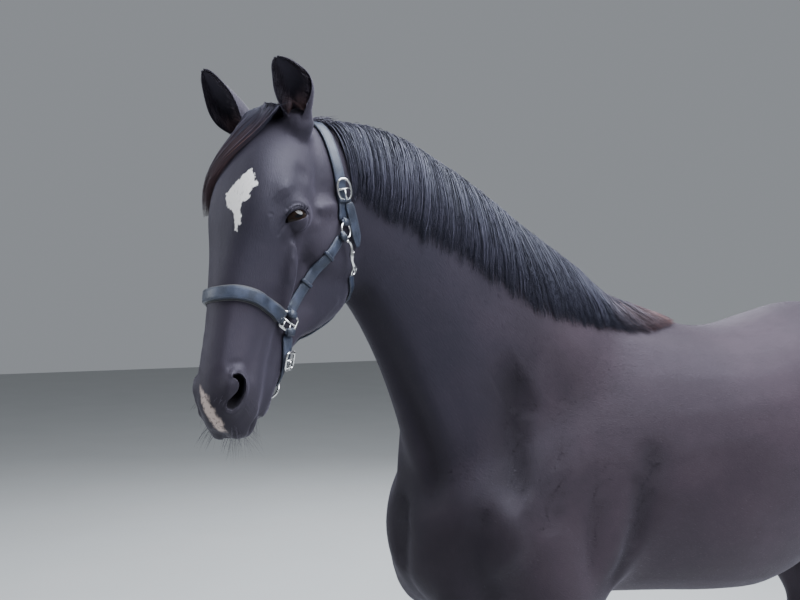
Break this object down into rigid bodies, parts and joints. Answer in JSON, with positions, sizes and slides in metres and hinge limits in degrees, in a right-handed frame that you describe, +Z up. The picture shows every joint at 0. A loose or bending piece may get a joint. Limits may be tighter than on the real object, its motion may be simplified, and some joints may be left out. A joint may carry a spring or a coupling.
{
  "type": "horse",
  "caption": "Life-size dark brown saddle horse standing square-set with its neck up and head turned to its left, wearing a leather headcollar.",
  "frame": {"origin": "middle of the horse's box on the ground, under its belly, level with the soles of the hooves", "axes": "+X to the horse's left, -Y forward to the nose and +Y back to the tail, +Z up"},
  "size_m": [0.5914, 2.3786, 2.0978],
  "materials": {
    "coat": "short, sleek black-brown coat with a soft gloss; a white star on the forehead and a pale snip between the nostrils",
    "hair": "long black-brown hair of mane, forelock and tail, its tips bleached reddish",
    "hoof": "dark grey-brown horn with faint growth rings",
    "eye": "wet dark brown eye",
    "strap_leather": "padded blue-black leather, stitched along both edges",
    "fittings": "bright cast and plated fittings, lightly worn"
  },
  "bodies": {
    "root": {"billet": "strap_leather", "cheek_strap_left": "strap_leather", "cheek_strap_right": "strap_leather", "chin_buckle": "fittings", "chin_ring": "fittings", "chin_strap": "strap_leather", "crown_buckle": "fittings", "crown_strap": "strap_leather", "ear_left": "coat", "ear_right": "coat", "eye_left": "eye", "eye_right": "eye", "foreleg_left": "coat", "foreleg_right": "coat", "forelock": "hair", "head": "coat", "hindleg_left": "coat", "hindleg_right": "coat", "hoof_fore_left": "hoof", "hoof_fore_right": "hoof", "hoof_hind_left": "hoof", "hoof_hind_right": "hoof", "jowl_strap": "strap_leather", "mane": "hair", "neck": "coat", "noseband": "strap_leather", "ring_left": "fittings", "ring_right": "fittings", "snap": "fittings", "square_left": "fittings", "square_right": "fittings", "tail": "hair", "throatlatch": "strap_leather", "trunk": "coat"}
  },
  "joints": []
}
